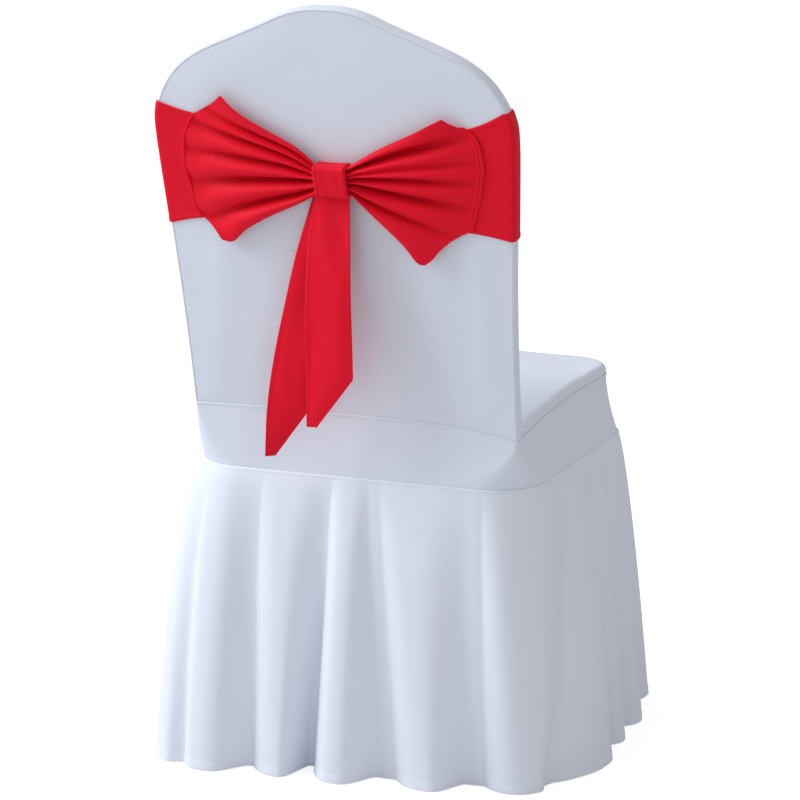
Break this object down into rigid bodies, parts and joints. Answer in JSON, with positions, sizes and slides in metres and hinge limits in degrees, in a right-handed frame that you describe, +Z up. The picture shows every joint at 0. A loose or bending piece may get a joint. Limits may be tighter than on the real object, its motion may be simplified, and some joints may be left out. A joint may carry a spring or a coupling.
{
  "type": "fitted chair cover with a bow sash",
  "caption": "Hollow stretch cover for a whole chair: crowned back, seat panel, flared skirt to the floor, and a sash tied round the back in a bow with hanging tails.",
  "frame": {"origin": "middle of the whole cover in plan, at the height of the hem", "axes": "+Z up, the sitter faces -Y, the back leans towards +Y and the bow is on its +Y side"},
  "size_m": [0.569, 0.5449, 0.9296],
  "materials": {
    "white_cloth": "matte",
    "red_cloth": "satin"
  },
  "bodies": {
    "root": {"back_rear_panel": "white_cloth", "back_gusset": "white_cloth", "back_front_panel": "white_cloth", "seat_panel": "white_cloth", "seat_band": "white_cloth", "skirt": "white_cloth", "sash_band": "red_cloth", "bow_wing_left": "red_cloth", "bow_wing_right": "red_cloth", "bow_knot": "red_cloth", "bow_tail_front": "red_cloth", "bow_tail_back": "red_cloth"}
  },
  "joints": []
}
